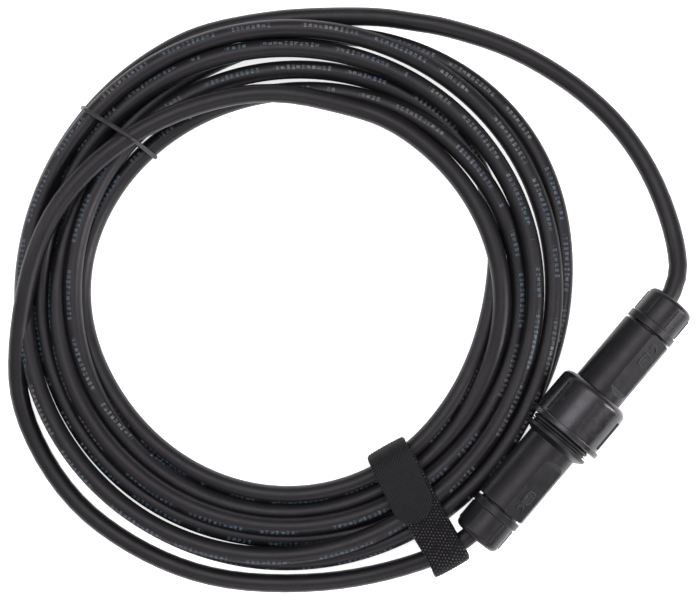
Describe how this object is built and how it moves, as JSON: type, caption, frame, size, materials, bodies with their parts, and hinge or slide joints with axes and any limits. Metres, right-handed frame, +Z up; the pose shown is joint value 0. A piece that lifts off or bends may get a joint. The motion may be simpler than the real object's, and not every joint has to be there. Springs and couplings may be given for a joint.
{
  "type": "in-line cable connector",
  "caption": "Round waterproof in-line cable connector: plug and socket halves joined by a threaded nut, with its rubber lead in a loose coil held by a hook-and-loop strap.",
  "frame": {"origin": "under the middle of the mated connector, on the surface that it and its coiled lead lie on", "axes": "+X along the connector's axis from the plug half to the socket half, +Y towards the coil, +Z up"},
  "size_m": [0.2722, 0.2547, 0.0336],
  "materials": {
    "housing_plastic": "moulded, fine matte",
    "nut_plastic": "moulded, satin",
    "insert_plastic": "moulded, matte",
    "cage_nylon": "natural nylon",
    "seal_rubber": "moulded rubber",
    "contact_brass": "machined, tin flash",
    "screw_steel": "zinc plated",
    "ferrule_tin": "tinned",
    "core_brown": "extruded",
    "core_blue": "extruded",
    "core_green_yellow": "extruded, two colours",
    "cable_rubber": "satin rubber jacket",
    "strap_loop": "looped pile weave",
    "strap_hook": "fine twill back",
    "tie_rubber": "satin rubber"
  },
  "bodies": {
    "root": {"plug_shell": "housing_plastic", "plug_insert": "insert_plastic", "plug_pin_earth": "contact_brass", "plug_pin_line": "contact_brass", "plug_pin_neutral": "contact_brass", "plug_terminal_screws": "screw_steel", "plug_ferrules": "ferrule_tin", "plug_thread_oring": "seal_rubber", "plug_gland_seal": "seal_rubber", "plug_clamp_cage": "cage_nylon", "plug_core_earth": "core_green_yellow", "plug_core_line": "core_brown", "plug_core_neutral": "core_blue", "cable_coil": "cable_rubber", "cable_tail_plug": "cable_rubber", "cable_lead_in": "cable_rubber", "strap_band": "strap_loop", "tie_ring": "tie_rubber"},
    "plug_thrust_ring": {"plug_thrust_ring": "cage_nylon"},
    "plug_gland_nut": {"plug_gland_nut": "nut_plastic"},
    "socket_half": {"socket_shell": "housing_plastic", "socket_insert": "insert_plastic", "socket_contact_earth": "contact_brass", "socket_contact_line": "contact_brass", "socket_contact_neutral": "contact_brass", "socket_terminal_screws": "screw_steel", "socket_ferrules": "ferrule_tin", "socket_face_seal": "seal_rubber", "coupling_slip_washer": "cage_nylon", "socket_gland_seal": "seal_rubber", "socket_clamp_cage": "cage_nylon", "socket_core_earth": "core_green_yellow", "socket_core_line": "core_brown", "socket_core_neutral": "core_blue", "cable_tail_socket": "cable_rubber"},
    "coupling_nut": {"coupling_nut": "nut_plastic"},
    "socket_thrust_ring": {"socket_thrust_ring": "cage_nylon"},
    "socket_gland_nut": {"socket_gland_nut": "nut_plastic"},
    "strap_tab": {"strap_tab": "strap_hook"}
  },
  "joints": [
    {"name": "halves_part", "type": "slide", "parent": "root", "child": "socket_half", "axis": [1, 0, 0], "range_m": [0, 0.015]},
    {"name": "coupling_turn", "type": "hinge", "parent": "socket_half", "child": "coupling_nut", "pos_m": [0.004, 0, 0.0168], "axis": [-1, 0, 0], "range_deg": [0, 1800.01]},
    {"name": "plug_gland_back", "type": "slide", "parent": "root", "child": "plug_thrust_ring", "axis": [-1, 0, 0], "range_m": [0, 0.0015]},
    {"name": "plug_gland_turn", "type": "hinge", "parent": "plug_thrust_ring", "child": "plug_gland_nut", "pos_m": [-0.055, 0, 0.0168], "axis": [-1, 0, 0], "range_deg": [0, 360.01]},
    {"name": "socket_gland_back", "type": "slide", "parent": "socket_half", "child": "socket_thrust_ring", "axis": [1, 0, 0], "range_m": [0, 0.0015]},
    {"name": "socket_gland_turn", "type": "hinge", "parent": "socket_thrust_ring", "child": "socket_gland_nut", "pos_m": [0.055, 0, 0.0168], "axis": [1, 0, 0], "range_deg": [0, 360.01]},
    {"name": "strap_peel", "type": "hinge", "parent": "root", "child": "strap_tab", "pos_m": [-0.05861, 0.04903, 0.0213], "axis": [-0.9354, 0.3535, 0], "range_deg": [0, 110]}
  ],
  "couplings": [
    {"joint": "coupling_turn", "follows": "halves_part", "rad_per_m": 2094.4},
    {"joint": "plug_gland_turn", "follows": "plug_gland_back", "rad_per_m": 4188.8},
    {"joint": "socket_gland_turn", "follows": "socket_gland_back", "rad_per_m": 4188.8}
  ]
}
